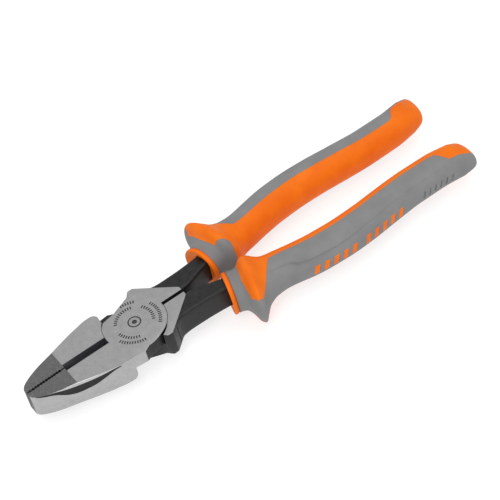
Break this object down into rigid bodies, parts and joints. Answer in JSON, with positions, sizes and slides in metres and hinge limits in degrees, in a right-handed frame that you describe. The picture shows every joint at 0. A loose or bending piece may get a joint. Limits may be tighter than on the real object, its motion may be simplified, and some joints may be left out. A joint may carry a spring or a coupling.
{
  "type": "lineman pliers",
  "caption": "Insulated side-cutting lineman's pliers: two crossing forged halves on one rivet, grip, cut and hub faces, two-colour guarded grips.",
  "frame": {"origin": "on the pivot axis, at the back face of the head", "axes": "+X from the pivot toward the handles, +Z along the pivot axis out of the front face, jaws closed"},
  "size_m": [0.2469, 0.0694, 0.0316],
  "materials": {
    "forged_steel": "ground steel head faces, black oxide on the unground forging",
    "rivet_steel": "ground flush",
    "orange_core": "moulded, satin",
    "grey_overmould": "soft overmould, matte",
    "sleeve_white": "moulded insulating sleeve, hidden"
  },
  "bodies": {
    "half_a": {"forging_a": "forged_steel", "collar_a": "orange_core", "insulating_sleeve_a": "sleeve_white", "grip_core_a": "orange_core", "grip_shell_a": "grey_overmould", "grip_bar_a_1": "orange_core", "grip_bar_a_2": "orange_core", "grip_bar_a_3": "orange_core", "grip_bar_a_4": "orange_core", "grip_bar_a_5": "orange_core", "grip_bar_a_6": "orange_core", "grip_bar_a_7": "orange_core", "grip_bar_a_8": "orange_core", "grip_bar_a_9": "orange_core", "grip_bar_a_10": "orange_core", "pivot_rivet": "rivet_steel"},
    "half_b": {"forging_b": "forged_steel", "collar_b": "orange_core", "insulating_sleeve_b": "sleeve_white", "grip_core_b": "orange_core", "grip_shell_b": "grey_overmould", "grip_bar_b_1": "orange_core", "grip_bar_b_2": "orange_core", "grip_bar_b_3": "orange_core", "grip_bar_b_4": "orange_core", "grip_bar_b_5": "orange_core", "grip_bar_b_6": "orange_core", "grip_bar_b_7": "orange_core", "grip_bar_b_8": "orange_core", "grip_bar_b_9": "orange_core", "grip_bar_b_10": "orange_core"}
  },
  "joints": [
    {"name": "jaw_opening", "type": "hinge", "parent": "half_a", "child": "half_b", "pos_m": [0, 0, 0.00715], "axis": [0, 0, -1], "range_deg": [0, 28]}
  ]
}
